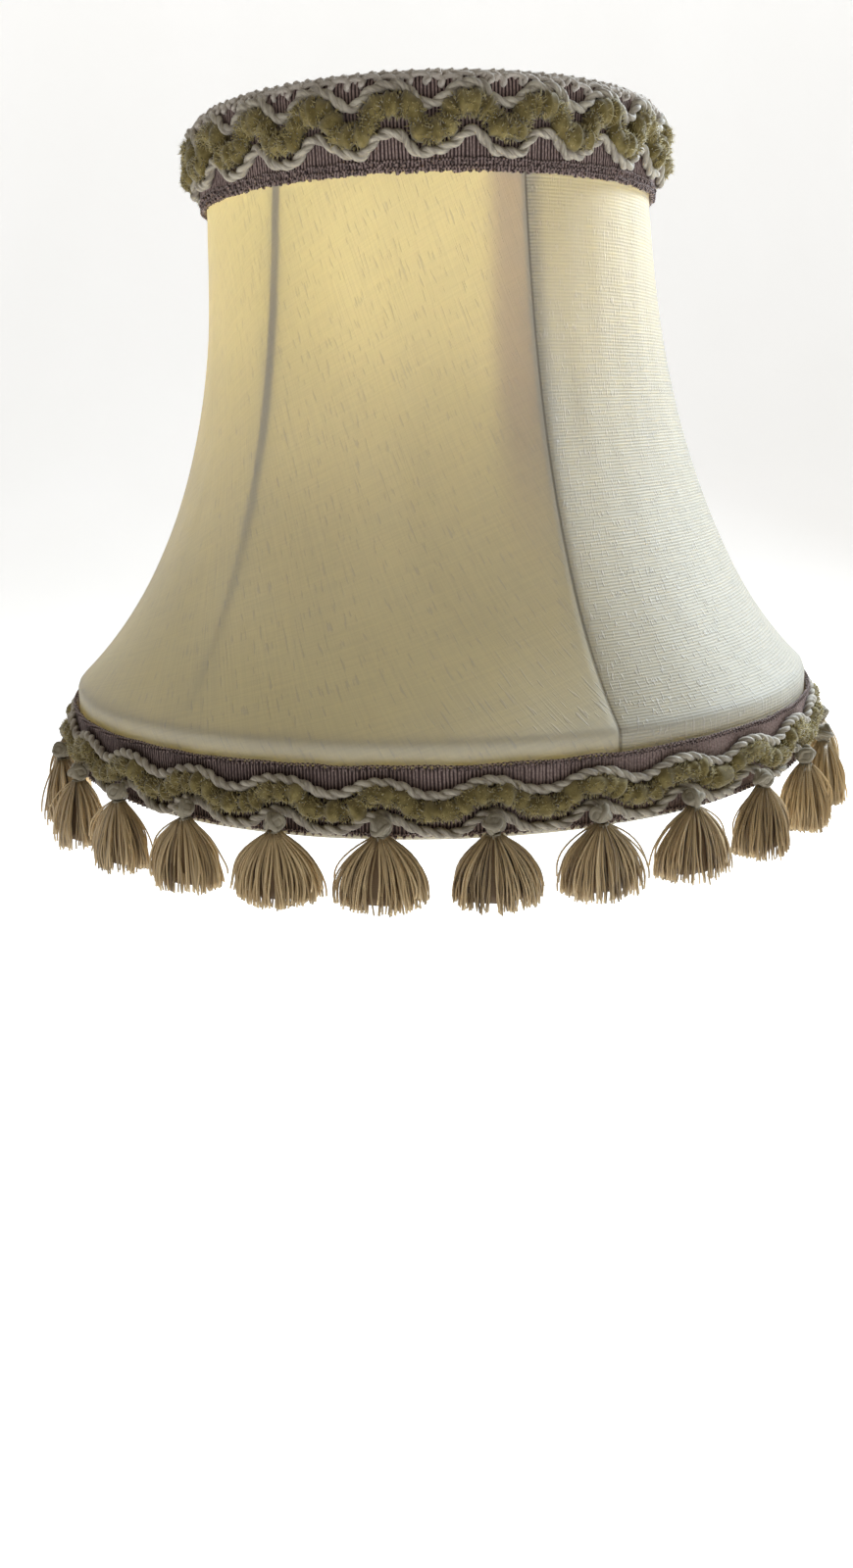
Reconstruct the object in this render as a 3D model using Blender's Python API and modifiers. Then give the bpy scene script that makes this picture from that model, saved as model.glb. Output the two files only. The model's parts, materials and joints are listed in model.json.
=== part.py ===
"""Bell-shaped fabric lamp shade: a six-rib wire frame with a sunk three-arm fitter, a cover and a
lining sewn in halves, braid and gimp trim at both edges, and tassels that swing on their knots.

Run with: blender --background --python part.py. Units are metres and +Z is up. The origin is the
centre of the fitter's hole, level with the fitter's underside, which rests on the lamp holder.
"""
import math

import bpy
from mathutils import Vector

# Frame: every radius is to the middle of the wire.
TOP_RING_RADIUS = 0.0696
SHOULDER_RING_RADIUS = 0.1226
COLLAR_FLARE = 0.0004
FITTER_DROP = 0.017
WAIST_DROP = 0.021
WAIST_INSET = 0.0011
BELL_HEIGHT = 0.148
COLLAR_HEIGHT = 0.0225
BELL_LEAN = 0.294
BELL_POWER = 2.53
RING_WIRE_RADIUS = 0.0015
RIB_WIRE_RADIUS = 0.0013
RIB_COUNT = 6

# Fitter
FITTER_HOLE_RADIUS = 0.0205
FITTER_FLANGE = 0.0085
FITTER_THICKNESS = 0.0016
ARM_COUNT = 3
ARM_FLAT_LENGTH = 0.012
ARM_LANDING_LENGTH = 0.0055

# Cloth and trim
COVER_THICKNESS = 0.0006
LINING_THICKNESS = 0.0005
BRAID_THICKNESS = 0.0010
BRAID_SETBACK = 0.0026
CORD_RADIUS = 0.0011
CHENILLE_RADIUS = 0.0020
TOP_GIMP_DROP = 0.0070
BOTTOM_GIMP_RISE = 0.0093
GIMP_SPREAD = 0.0047

# Tassels
TASSEL_COUNT = 28
KNOT_RADIUS = 0.0030
SKIRT_LENGTH = 0.0210
SKIRT_WIDTH = 0.0220
SKIRT_DEPTH = 0.0130
SKIRT_LEAN = 0.0010

# Fits and fineness
FIT_GAP = 0.0003
TURN_STEPS = 48
FITTER_STEPS = 36
BELL_SPANS = 10
ARM_SPANS = 11
WIRE_SIDES = 6
CORD_SIDES = 5
TASSEL_SIDES = 8
MERGE = 0.00001

# Levels and fits worked out from the sizes above
TOP_RING_Z = FITTER_DROP
WAIST_Z = TOP_RING_Z - WAIST_DROP
CORNER_Z = WAIST_Z - BELL_HEIGHT
BOTTOM_RING_Z = CORNER_Z - COLLAR_HEIGHT
BOTTOM_RING_RADIUS = SHOULDER_RING_RADIUS + COLLAR_FLARE
RIB_INSET = RING_WIRE_RADIUS + FIT_GAP + RIB_WIRE_RADIUS
RIB_CLEARANCE = RIB_WIRE_RADIUS + FIT_GAP
RING_CLEARANCE = RING_WIRE_RADIUS + FIT_GAP
WAIST_RADIUS = TOP_RING_RADIUS - WAIST_INSET
LINING_TOP_Z = TOP_RING_Z - 3 * RING_WIRE_RADIUS
FITTER_RADIUS = FITTER_HOLE_RADIUS + FITTER_FLANGE

# Finishes: linear colour, roughness, metallic
FINISHES = {
    "wire": ((0.72, 0.71, 0.66), 0.45, 0.0),
    "fitter": ((0.78, 0.77, 0.73), 0.40, 0.0),
    "silk": ((0.66, 0.60, 0.42), 0.55, 0.0),
    "lining": ((0.80, 0.70, 0.55), 0.60, 0.0),
    "braid": ((0.16, 0.11, 0.12), 0.80, 0.0),
    "cord": ((0.55, 0.52, 0.47), 0.65, 0.0),
    "chenille": ((0.25, 0.24, 0.09), 0.90, 0.0),
    "tassel": ((0.42, 0.33, 0.20), 0.60, 0.0),
}


def clear_scene():
    """Remove every object that the file opened with."""
    for old in list(bpy.data.objects):
        bpy.data.objects.remove(old, do_unlink=True)


def new_collection(name):
    """A collection for the shade's pieces, linked into the scene."""
    collection = bpy.data.collections.new(name)
    bpy.context.scene.collection.children.link(collection)
    return collection


def paint(piece, finish):
    """Give a piece its own material, of one of the FINISHES."""
    colour, roughness, metallic = FINISHES[finish]
    material = bpy.data.materials.new(piece.name + "_" + finish)
    material.use_nodes = True
    shader = material.node_tree.nodes["Principled BSDF"]
    shader.inputs["Base Color"].default_value = (*colour, 1.0)
    shader.inputs["Roughness"].default_value = roughness
    shader.inputs["Metallic"].default_value = metallic
    piece.data.materials.append(material)


def add_piece(name, data, collection, finish):
    """Put new mesh or curve data into the shade as a named, painted piece."""
    piece = bpy.data.objects.new(name, data)
    collection.objects.link(piece)
    paint(piece, finish)
    return piece


def bell_radius(share):
    """Radius of a rib's middle line at a share of the way down the bell, 0 at the waist."""
    corner = SHOULDER_RING_RADIUS - RIB_INSET
    swell = BELL_LEAN * share + (1 - BELL_LEAN) * share ** BELL_POWER
    return WAIST_RADIUS + (corner - WAIST_RADIUS) * swell


def bell_line(first=0, last=BELL_SPANS):
    """Points (radius, height) of a rib's middle line along the bell, from the top down."""
    return [
        Vector((bell_radius(step / BELL_SPANS), WAIST_Z - BELL_HEIGHT * step / BELL_SPANS))
        for step in range(first, last + 1)
    ]


def rib_line():
    """The whole middle line of a rib: top ring, waist, bell, shoulder and collar."""
    top = Vector((TOP_RING_RADIUS - RIB_INSET, TOP_RING_Z))
    foot = Vector((BOTTOM_RING_RADIUS - RIB_INSET, BOTTOM_RING_Z))
    return [top, *bell_line(), foot]


def offset_line(points, distance):
    """The line moved outwards by a distance, square to its runs, with mitred corners.
    The points run down the line, so the outer side is on the left of each run."""
    normals = []
    for start, end in zip(points, points[1:]):
        run = (end - start).normalized()
        normals.append(Vector((-run.y, run.x)))
    before = [normals[0], *normals]
    after = [*normals, normals[-1]]
    moved = []
    for point, one, other in zip(points, before, after):
        middle = (one + other).normalized()
        moved.append(point + middle * distance / middle.dot(one))
    return moved


def shoulder_ring_centre():
    """Where the shoulder ring lies against the outside of the ribs' corner."""
    return offset_line(rib_line(), RIB_INSET)[-2]


def arc(centre, radius, degrees):
    """Points round a centre at the given angles, 0 being outwards and 90 up."""
    return [
        centre + radius * Vector((math.cos(math.radians(a)), math.sin(math.radians(a))))
        for a in degrees
    ]


def cover_line(standoff):
    """Outline of the cover's inner face, moved outwards by a standoff: over the top ring, down
    the bell, over the shoulder ring, down the collar and under the bottom ring."""
    reach = RING_CLEARANCE + standoff
    top = arc(Vector((TOP_RING_RADIUS, TOP_RING_Z)), reach, (90, 45, 0))
    bell = offset_line(bell_line(0, BELL_SPANS - 1), RIB_CLEARANCE + standoff)
    shoulder = arc(shoulder_ring_centre(), reach, (50, 25, 0))
    hem = arc(Vector((BOTTOM_RING_RADIUS, BOTTOM_RING_Z)), reach, (0, -60))
    return top, bell, shoulder, hem


def profile_mesh(name, points, closed=False):
    """A mesh outline in the XZ plane, ready for a Screw modifier about Z."""
    vertices = [(p.x, 0.0, p.y) for p in points]
    edges = [(i, i + 1) for i in range(len(points) - 1)]
    if closed:
        edges.append((len(points) - 1, 0))
    mesh = bpy.data.meshes.new(name)
    mesh.from_pydata(vertices, edges, [])
    return mesh


def turn(piece, degrees, steps):
    """Turn a piece's outline about Z with a Screw modifier."""
    screw = piece.modifiers.new("turn", "SCREW")
    screw.angle = math.radians(degrees)
    screw.steps = steps
    screw.render_steps = steps
    screw.use_merge_vertices = degrees == 360
    screw.merge_threshold = MERGE
    screw.use_smooth_shade = True
    return screw


def thicken(piece, thickness, side):
    """Give a turned surface its thickness, on the outside (1) or the inside (-1)."""
    wall = piece.modifiers.new("wall", "SOLIDIFY")
    wall.thickness = thickness
    wall.offset = side
    wall.use_even_offset = True
    return wall


def add_ring(name, radius, height, wire_radius, sides, collection, finish):
    """A closed ring of round wire or cord, lying level."""
    bpy.ops.mesh.primitive_torus_add(
        major_radius=radius,
        minor_radius=wire_radius,
        major_segments=TURN_STEPS,
        minor_segments=sides,
    )
    ring = bpy.context.object
    ring.name = name
    ring.data.name = name
    bpy.context.collection.objects.unlink(ring)
    collection.objects.link(ring)
    ring.location.z = height
    ring.data.shade_smooth()
    paint(ring, finish)
    return ring


def add_wire(name, points, wire_radius, degrees, collection, finish):
    """A bent wire through (radius, height) points, turned to its place about Z."""
    curve = bpy.data.curves.new(name, "CURVE")
    curve.dimensions = "3D"
    curve.bevel_depth = wire_radius
    curve.bevel_resolution = 2
    curve.use_fill_caps = True
    spline = curve.splines.new("POLY")
    spline.points.add(len(points) - 1)
    for slot, point in zip(spline.points, points):
        slot.co = (point.x, 0.0, point.y, 1.0)
    wire = add_piece(name, curve, collection, finish)
    wire.rotation_euler.z = math.radians(degrees)
    return wire


def add_frame(collection):
    """The three rings, and the six ribs spot-welded inside them."""
    shoulder = shoulder_ring_centre()
    rings = (
        ("top_ring", TOP_RING_RADIUS, TOP_RING_Z),
        ("shoulder_ring", shoulder.x, shoulder.y),
        ("bottom_ring", BOTTOM_RING_RADIUS, BOTTOM_RING_Z),
    )
    for name, radius, height in rings:
        add_ring(name, radius, height, RING_WIRE_RADIUS, WIRE_SIDES, collection, "wire")
    for number in range(RIB_COUNT):
        degrees = 360 / RIB_COUNT * number
        add_wire(f"rib_{number + 1}", rib_line(), RIB_WIRE_RADIUS, degrees, collection, "wire")


def add_fitter(collection):
    """The stamped washer that sits on the lamp holder, and the arms that carry it."""
    outline = [
        Vector((FITTER_RADIUS, FITTER_THICKNESS)),
        Vector((FITTER_RADIUS, 0.0)),
        Vector((FITTER_HOLE_RADIUS, 0.0)),
        Vector((FITTER_HOLE_RADIUS, FITTER_THICKNESS)),
    ]
    washer_mesh = profile_mesh("fitter_ring", outline, closed=True)
    washer = add_piece("fitter_ring", washer_mesh, collection, "fitter")
    turn(washer, 360, FITTER_STEPS).use_smooth_shade = False
    for number in range(ARM_COUNT):
        degrees = 360 / ARM_COUNT * number + 180 / RIB_COUNT
        name = f"fitter_arm_{number + 1}"
        add_wire(name, arm_line(), RING_WIRE_RADIUS, degrees, collection, "fitter")


def arm_line():
    """An arm's middle line: flat off the washer's rim, up in an S, and flat into the top ring."""
    start = FITTER_RADIUS + FIT_GAP
    end = TOP_RING_RADIUS - RING_CLEARANCE
    low = FITTER_THICKNESS / 2
    climb = end - start - ARM_FLAT_LENGTH - ARM_LANDING_LENGTH
    points = []
    for step in range(ARM_SPANS + 1):
        radius = start + (end - start) * step / ARM_SPANS
        share = (radius - start - ARM_FLAT_LENGTH) / climb
        share = min(max(share, 0.0), 1.0)
        rise = share * share * (3 - 2 * share)
        points.append(Vector((radius, low + (TOP_RING_Z - low) * rise)))
    return points


def add_halves(name, points, thickness, side, collection, finish):
    """Two half-turn shells that meet in seams over the third and the last rib."""
    seam = math.degrees(FIT_GAP / WAIST_RADIUS)
    seam_degrees = -360 / RIB_COUNT
    for number, suffix in enumerate(("front_left", "back_right")):
        piece_name = f"{name}_{suffix}"
        mesh = profile_mesh(piece_name, points)
        half = add_piece(piece_name, mesh, collection, finish)
        turn(half, 180 - seam, TURN_STEPS // 2)
        thicken(half, thickness, side)
        half.rotation_euler.z = math.radians(seam_degrees + 180 * (1 + number) + seam / 2)


def add_cover(collection):
    """The silk cover, in two halves, from over the top ring to under the bottom ring."""
    top, bell, shoulder, hem = cover_line(COVER_THICKNESS)
    points = [*top, *bell, *shoulder, *hem]
    add_halves("cover", points, COVER_THICKNESS, -1, collection, "silk")


def add_lining(collection):
    """The lining, in two halves, inside the ribs from below the arms to the bottom ring."""
    outline = offset_line(rib_line(), -RIB_CLEARANCE)
    share = (LINING_TOP_Z - outline[0].y) / (outline[1].y - outline[0].y)
    outline[0] = outline[0].lerp(outline[1], share)
    add_halves("lining", outline, LINING_THICKNESS, -1, collection, "lining")


def add_braids(collection):
    """The ribbed braid: one band over the top ring to the waist, one round the collar."""
    standoff = COVER_THICKNESS + FIT_GAP
    top, bell, shoulder, hem = cover_line(standoff)
    setback = BRAID_SETBACK / (shoulder[-1].y - hem[0].y)
    collar_top = shoulder[-1].lerp(hem[0], setback)
    bands = (("top_braid", [*top, bell[0]]), ("bottom_braid", [collar_top, hem[0]]))
    for name, points in bands:
        band = add_piece(name, profile_mesh(name, points), collection, "braid")
        turn(band, 360, TURN_STEPS)
        thicken(band, BRAID_THICKNESS, 1)


def braid_face(height):
    """Radius of the outer face of the nearer braid at a height."""
    standoff = COVER_THICKNESS + FIT_GAP + BRAID_THICKNESS
    top, bell, shoulder, hem = cover_line(standoff)
    upper, lower = (top[-1], bell[0]) if height > WAIST_Z else (shoulder[-1], hem[0])
    share = (height - upper.y) / (lower.y - upper.y)
    return upper.lerp(lower, share).x


def gimp_levels(place):
    """Heights of a gimp's upper cord, chenille and lower cord: the top one hangs a set drop below
    the top ring, and the bottom one lies a set rise above the bottom ring."""
    middles = {"top": TOP_RING_Z - TOP_GIMP_DROP, "bottom": BOTTOM_RING_Z + BOTTOM_GIMP_RISE}
    middle = middles[place]
    return middle + GIMP_SPREAD, middle, middle - GIMP_SPREAD


def add_gimps(collection):
    """Each gimp: a cord, a chenille and a cord, laid round the face of its braid."""
    for place in ("top", "bottom"):
        upper, middle, lower = gimp_levels(place)
        strands = (
            ("upper_cord", upper, CORD_RADIUS, CORD_SIDES, "cord"),
            ("chenille", middle, CHENILLE_RADIUS, WIRE_SIDES, "chenille"),
            ("lower_cord", lower, CORD_RADIUS, CORD_SIDES, "cord"),
        )
        for strand, height, radius, sides, finish in strands:
            ring_radius = braid_face(height) + FIT_GAP + radius
            add_ring(f"{place}_{strand}", ring_radius, height, radius, sides, collection, finish)


def tassel_mesh(name):
    """A knot with a fanned skirt below it, lofted through level ovals round the local origin.
    Local +X points away from the shade; the origin is the middle of the knot."""
    half_width = SKIRT_WIDTH / 2
    half_depth = SKIRT_DEPTH / 2
    neck = 0.7 * KNOT_RADIUS
    ovals = (
        (KNOT_RADIUS, 0.5 * KNOT_RADIUS, 0.5 * KNOT_RADIUS, 0.0),
        (0.4 * KNOT_RADIUS, KNOT_RADIUS, KNOT_RADIUS, 0.0),
        (-0.5 * KNOT_RADIUS, 0.95 * KNOT_RADIUS, 0.95 * KNOT_RADIUS, 0.0),
        (-KNOT_RADIUS, neck, neck, 0.0),
        (-KNOT_RADIUS - 0.2 * SKIRT_LENGTH, 0.5 * half_width, 0.5 * half_depth, 0.5 * SKIRT_LEAN),
        (-KNOT_RADIUS - 0.5 * SKIRT_LENGTH, 0.8 * half_width, 0.8 * half_depth, 0.5 * SKIRT_LEAN),
        (-KNOT_RADIUS - SKIRT_LENGTH, half_width, half_depth, SKIRT_LEAN),
    )
    vertices = []
    for height, across, deep, lean in ovals:
        for side in range(TASSEL_SIDES):
            angle = 2 * math.pi * (side + 0.5) / TASSEL_SIDES
            vertices.append((lean + deep * math.cos(angle), across * math.sin(angle), height))
    faces = [tuple(range(TASSEL_SIDES))]
    for row in range(len(ovals) - 1):
        for side in range(TASSEL_SIDES):
            here = row * TASSEL_SIDES + side
            beside = row * TASSEL_SIDES + (side + 1) % TASSEL_SIDES
            faces.append((here, here + TASSEL_SIDES, beside + TASSEL_SIDES, beside))
    last = (len(ovals) - 1) * TASSEL_SIDES
    faces.append(tuple(reversed(range(last, last + TASSEL_SIDES))))
    mesh = bpy.data.meshes.new(name)
    mesh.from_pydata(vertices, [], faces)
    mesh.shade_smooth()
    return mesh


def add_tassels(collection):
    """The tassels, each with its origin in its knot, which rests on the bottom lower cord."""
    lower = gimp_levels("bottom")[-1]
    reach = braid_face(lower) + FIT_GAP + 2 * CORD_RADIUS + FIT_GAP + KNOT_RADIUS
    for number in range(TASSEL_COUNT):
        name = f"tassel_{number + 1:02d}"
        angle = 2 * math.pi * number / TASSEL_COUNT - math.pi / 2
        tassel = add_piece(name, tassel_mesh(name), collection, "tassel")
        tassel.location = (reach * math.cos(angle), reach * math.sin(angle), lower)
        tassel.rotation_euler.z = angle


def main():
    clear_scene()
    shade = new_collection("lamp_shade")
    add_frame(shade)
    add_fitter(shade)
    add_cover(shade)
    add_lining(shade)
    add_braids(shade)
    add_gimps(shade)
    add_tassels(shade)


main()
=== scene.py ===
"""Looks of a bell-shaped silk lamp shade, worked out round its packed wire frame.

Silk and lining are stretched over the ribs, and ribbed braid, twisted cord, chenille and tassels
dress both edges. Every piece is a surface computed from the frame's own rings and joints.
Units are metres and +Z is up. The origin is the middle of the fitter's hole.
"""

import json
import math
from functools import partial
from types import SimpleNamespace

import bpy
import numpy as np
from bpy.props import FloatProperty, FloatVectorProperty, IntProperty, PointerProperty
from mathutils import Matrix, Vector


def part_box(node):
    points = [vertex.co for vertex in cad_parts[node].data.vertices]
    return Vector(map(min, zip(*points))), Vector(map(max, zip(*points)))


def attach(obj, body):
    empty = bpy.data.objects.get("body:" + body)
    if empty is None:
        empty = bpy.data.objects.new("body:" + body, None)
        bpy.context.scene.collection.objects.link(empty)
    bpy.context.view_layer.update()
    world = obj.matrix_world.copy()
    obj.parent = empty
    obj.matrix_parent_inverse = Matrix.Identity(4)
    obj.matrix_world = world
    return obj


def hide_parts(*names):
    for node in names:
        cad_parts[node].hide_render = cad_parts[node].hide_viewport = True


bl_info = {
    "name": "Bell Lamp Shade",
    "version": (1, 0, 0),
    "blender": (4, 5, 0),
    "location": "View3D > Sidebar > Lamp Shade",
    "description": "Dresses a wire lamp shade frame in silk, braid, cord, chenille and tassels",
    "category": "Object",
}

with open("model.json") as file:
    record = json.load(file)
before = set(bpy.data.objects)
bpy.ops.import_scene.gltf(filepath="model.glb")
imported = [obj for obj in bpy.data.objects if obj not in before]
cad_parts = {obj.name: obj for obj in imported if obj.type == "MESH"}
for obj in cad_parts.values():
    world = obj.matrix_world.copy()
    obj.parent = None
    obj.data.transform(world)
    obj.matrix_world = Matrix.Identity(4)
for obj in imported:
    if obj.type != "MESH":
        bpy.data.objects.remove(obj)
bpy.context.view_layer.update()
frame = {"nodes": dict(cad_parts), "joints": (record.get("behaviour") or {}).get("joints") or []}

MM = 0.001
TURN = 2 * math.pi
RIBS = 6
SEAM_TURN = math.radians(120)
RING_WIRE = 1.5 * MM
RIB_WIRE = 1.3 * MM
GAP = 0.3 * MM
SILK = 0.6 * MM
LINING = 0.5 * MM
BRAID = 1.0 * MM
WAIST_DROP = 21 * MM
WAIST_INSET = 1.1 * MM
BELL_HEIGHT = 148 * MM
RIB_INSET = RING_WIRE + GAP + RIB_WIRE
PATTERN_RADIUS = 90 * MM
RIB_PITCH = PATTERN_RADIUS * TURN / RIBS
LAST_SEAM = PATTERN_RADIUS * TURN / 2
TASSEL_SEED = 7
# Taut cloth lies on the ribs over this share of the bell, and lands on the shoulder ring at this
# angle above the ring's outermost line.
ON_RIBS = 0.74
LANDING = math.radians(46)
# A tassel's skirt starts below the middle of its knot, and leans away from the shade.
NECK_DROP = 2.6 * MM
SKIRT_LEAN = 1.0 * MM
HEART_SIDES = 44
KNOT = 2.5 * MM
FLOOR_HEIGHT = -0.403


def linear(code):
    """An sRGB hex colour as linear red, green and blue."""
    parts = [int(code[place:place + 2], 16) / 255 for place in (1, 3, 5)]
    return [p / 12.92 if p <= 0.04045 else ((p + 0.055) / 1.055) ** 2.4 for p in parts]


def length_setting(name, millimetres, description):
    """A length that the user may change."""
    return FloatProperty(
        name=name, description=description, default=millimetres * MM, min=0, unit="LENGTH"
    )


def colour_setting(name, code, description):
    """A colour that the user may change."""
    return FloatVectorProperty(
        name=name, description=description, default=linear(code), min=0, max=1, size=3,
        subtype="COLOR",
    )


class ShadeSizes(bpy.types.PropertyGroup):
    """Sizes of the cloth and trim."""

    bell_lean: FloatProperty(
        name="Bell lean", description="Share of the bell's spread that is a straight cone",
        default=0.294, min=0, max=1, subtype="FACTOR",
    )
    bell_power: FloatProperty(
        name="Bell flare", description="Power of the curve that flares the bell at its hem",
        default=2.53, min=1,
    )
    cloth_pull: FloatProperty(
        name="Cloth pull", description="How far taut cloth draws in to a flat panel between ribs",
        default=0.5, min=0, max=1, subtype="FACTOR",
    )
    cord: length_setting("Cord", 3.0, "Thickness of the twisted cords")
    cord_lay: length_setting("Cord lay", 8.0, "Length of one full twist of the cord")
    chenille: length_setting("Chenille", 6.0, "Thickness of the chenille over its pile")
    braid_rib: length_setting("Braid rib", 1.0, "Width of one rib of the braid")
    top_waves: IntProperty(
        name="Top waves", description="Waves of the gimp round the top", default=22, min=3
    )
    skirt_length: length_setting("Skirt length", 21.0, "Length of a tassel's skirt")
    skirt_width: length_setting("Skirt width", 26.5, "Width of a tassel's skirt at its hem")
    skirt_depth: length_setting("Skirt depth", 14.0, "Depth of a tassel's skirt at its hem")
    skirt_threads: IntProperty(
        name="Threads", description="Threads in a tassel's skirt", default=260, min=20
    )
    thread: length_setting("Thread", 0.6, "Thickness of a tassel's thread")


class ShadeColours(bpy.types.PropertyGroup):
    """Colours of the cloth, trim and metal, and of the shade painted onto them."""

    silk: colour_setting("Silk", "#E6E3D8", "Cream silk seen by light that falls on it")
    silk_glow: colour_setting("Silk glow", "#EDDC98", "Silk seen by light that comes through it")
    # Painted shadow: the silk's glow is darkened towards this colour beside the last seam, where the
    # seam's turnings lie double behind it.
    turnings: colour_setting("Turnings", "#A9875C", "Glow where the seam's turnings lie double")
    lining: colour_setting("Lining", "#DCD0B6", "Lining satin")
    lining_glow: colour_setting("Lining glow", "#F3EEC9", "Light that comes through the lining")
    braid: colour_setting("Braid", "#BCA49F", "Mauve-taupe ribs of the braid")
    # Painted shade: this colour darkens the gaps between the braid's ribs, and gives the braid's
    # darker fibres.
    braid_gap_shade: colour_setting("Braid shade", "#4C3D3C", "Ground between the ribs of the braid")
    cord: colour_setting("Cord", "#D3CBBA", "Grey-white twisted cord")
    loops: colour_setting("Edge loops", "#F0E6DB", "Pale pinkish loops of the top edge")
    cord_dark: colour_setting("Cord shade", "#A69C90", "Handled, dusty parts of the cord")
    chenille: colour_setting("Chenille", "#CDBC80", "Olive pile at its tips")
    # Painted shade: the pile darkens towards this colour at its roots, deep in the pile.
    chenille_root_shade: colour_setting("Chenille shade", "#6F6238", "Olive pile at its roots")
    tassel: colour_setting("Tassel", "#EBCF9F", "Beige-gold threads")
    # Painted shade: threads deep in a skirt, its packed heart and the tops near the knot are darkened
    # towards this colour.
    tassel_deep_shade: colour_setting("Tassel shade", "#6B5233", "Brown-gold threads deep in a skirt")
    knot: colour_setting("Knot", "#A79E8B", "Grey-white knots above the skirts")
    wire: colour_setting("Wire", "#DAD8D0", "White coated wire")


# Meshes


def grid_faces(rows, columns, closed_rows=False, closed_columns=False, flip=False):
    """Quads of a grid of points, and the same quads on a grid one row and one column larger,
    which holds a pattern's coordinates past the join of a closed side."""
    row = np.arange(rows if closed_rows else rows - 1)
    column = np.arange(columns if closed_columns else columns - 1)
    row, column = np.meshgrid(row, column, indexing="ij")
    corners = [(row, column), (row, column + 1), (row + 1, column + 1), (row + 1, column)]
    if flip:
        corners.reverse()
    at = np.stack([(r % rows) * columns + c % columns for r, c in corners], -1)
    pattern = np.stack([r * (columns + 1) + c for r, c in corners], -1)
    return at.reshape(-1, 4), pattern.reshape(-1, 4)


def make_mesh(name, points, faces, pattern=None):
    """A smooth mesh of points (count, 3) and faces, a list of arrays of equal-sided faces.
    pattern holds a UV for each corner of each face, as a list of arrays like faces."""
    mesh = bpy.data.meshes.new(name)
    corners = np.concatenate([f.ravel() for f in faces]).astype(np.int32)
    sides = np.concatenate([np.full(len(f), f.shape[1]) for f in faces])
    starts = (np.cumsum(sides) - sides).astype(np.int32)
    mesh.vertices.add(len(points))
    mesh.vertices.foreach_set("co", points.astype(np.float32).ravel())
    mesh.loops.add(len(corners))
    mesh.loops.foreach_set("vertex_index", corners)
    mesh.polygons.add(len(starts))
    mesh.polygons.foreach_set("loop_start", starts)
    mesh.update(calc_edges=True)
    if pattern is not None:
        layer = mesh.uv_layers.new(name="weave")
        flat = np.concatenate([p.reshape(-1, 2) for p in pattern])
        layer.data.foreach_set("uv", flat.astype(np.float32).ravel())
    mesh.shade_smooth()
    return mesh


def make_grid(name, points, across, along, closed_rows=False, closed_columns=False, flip=False):
    """A mesh of a grid of points (rows, columns, 3). across gives U for each column and one more,
    and along gives V for each row and one more, both in metres."""
    rows, columns = points.shape[:2]
    faces, places = grid_faces(rows, columns, closed_rows, closed_columns, flip)
    u, v = np.meshgrid(across, along)
    pattern = np.stack([u.ravel(), v.ravel()], -1)[places]
    return make_mesh(name, points.reshape(-1, 3), [faces], [pattern])


def turns(count):
    """Angles spread evenly round one turn."""
    return TURN * np.arange(count) / count


def hops(paths):
    """The distance from each point of closed paths to the next one."""
    return np.linalg.norm(np.roll(paths, -1, -2) - paths, axis=-1)


def unit(vectors):
    """Vectors at length one."""
    return vectors / np.maximum(np.linalg.norm(vectors, axis=-1, keepdims=True), 1e-12)


def square_frame(paths, aside, closed):
    """Two directions square to each path's run: the one nearest to aside, and the one square to
    both. paths has the shape (count, steps, 3)."""
    if closed:
        run = unit(np.roll(paths, -1, 1) - np.roll(paths, 1, 1))
    else:
        run = unit(np.gradient(paths, axis=1))
    first = unit(aside - (aside * run).sum(-1, keepdims=True) * run)
    return first, np.cross(run, first)


def turned(angle, first, second):
    """Directions turned by angles from a first direction towards a second."""
    return np.cos(angle)[..., None] * first + np.sin(angle)[..., None] * second


def tube_points(paths, radius, sides, aside, closed=False):
    """Round tubes: each point of a path carries a circle of its radius, square to the run."""
    first, second = square_frame(paths, aside, closed)
    spread = turned(turns(sides), first[:, :, None], second[:, :, None])
    reach = np.broadcast_to(radius, paths.shape[:2])[:, :, None, None]
    return paths[:, :, None] + reach * spread


def tube_parts(paths, radius, sides, aside, closed=False, shade=None):
    """Points, faces and pattern of a set of tubes. U is the length along a tube, in metres, or
    the tube's own tone and painted shade from 0 to 1 where shade is given, and V is the share of
    the way round, or along it where shade is given. Open tubes get flat ends."""
    count, steps = paths.shape[:2]
    points = tube_points(paths, radius, sides, aside, closed)
    faces, places = grid_faces(steps, sides, closed, True)
    offset = (np.arange(count) * steps * sides)[:, None, None]
    all_faces = [(faces[None] + offset).reshape(-1, 4)]
    if shade is None:
        length = np.concatenate([np.zeros((count, 1)), np.cumsum(hops(paths), 1)], 1)
        round_share = np.arange(sides + 1) / sides
        u = np.repeat(length[:, :, None], sides + 1, 2)
        v = np.broadcast_to(round_share, u.shape)
    else:
        u = np.broadcast_to(shade[:, None, None], (count, steps + 1, sides + 1))
        v = np.broadcast_to((np.arange(steps + 1) / (steps - 1))[:, None], u.shape)
    grid = np.stack([u, v], -1).reshape(count, -1, 2)
    all_pattern = [grid[:, places].reshape(-1, 4, 2)]
    if not closed:
        ring = np.arange(sides)
        ends = np.stack([ring[::-1], ring + (steps - 1) * sides])
        all_faces.append((ends[None] + offset).reshape(-1, sides))
        tips = grid[:, [0, steps * (sides + 1) - 1]]
        all_pattern.append(np.repeat(tips.reshape(-1, 1, 2), sides, 1))
    return points.reshape(-1, 3), all_faces, all_pattern


def join_parts(*parts):
    """Several sets of points, faces and pattern as one."""
    points, faces, pattern, total = [], [], [], 0
    for some_points, some_faces, some_pattern in parts:
        points.append(some_points)
        faces += [f + total for f in some_faces]
        pattern += some_pattern
        total += len(some_points)
    return np.concatenate(points), faces, pattern


def into_scene(data):
    """An object in the scene for a mesh, a light or a camera, under its name."""
    made = bpy.data.objects.new(data.name, data)
    bpy.context.scene.collection.objects.link(made)
    return made


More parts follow.
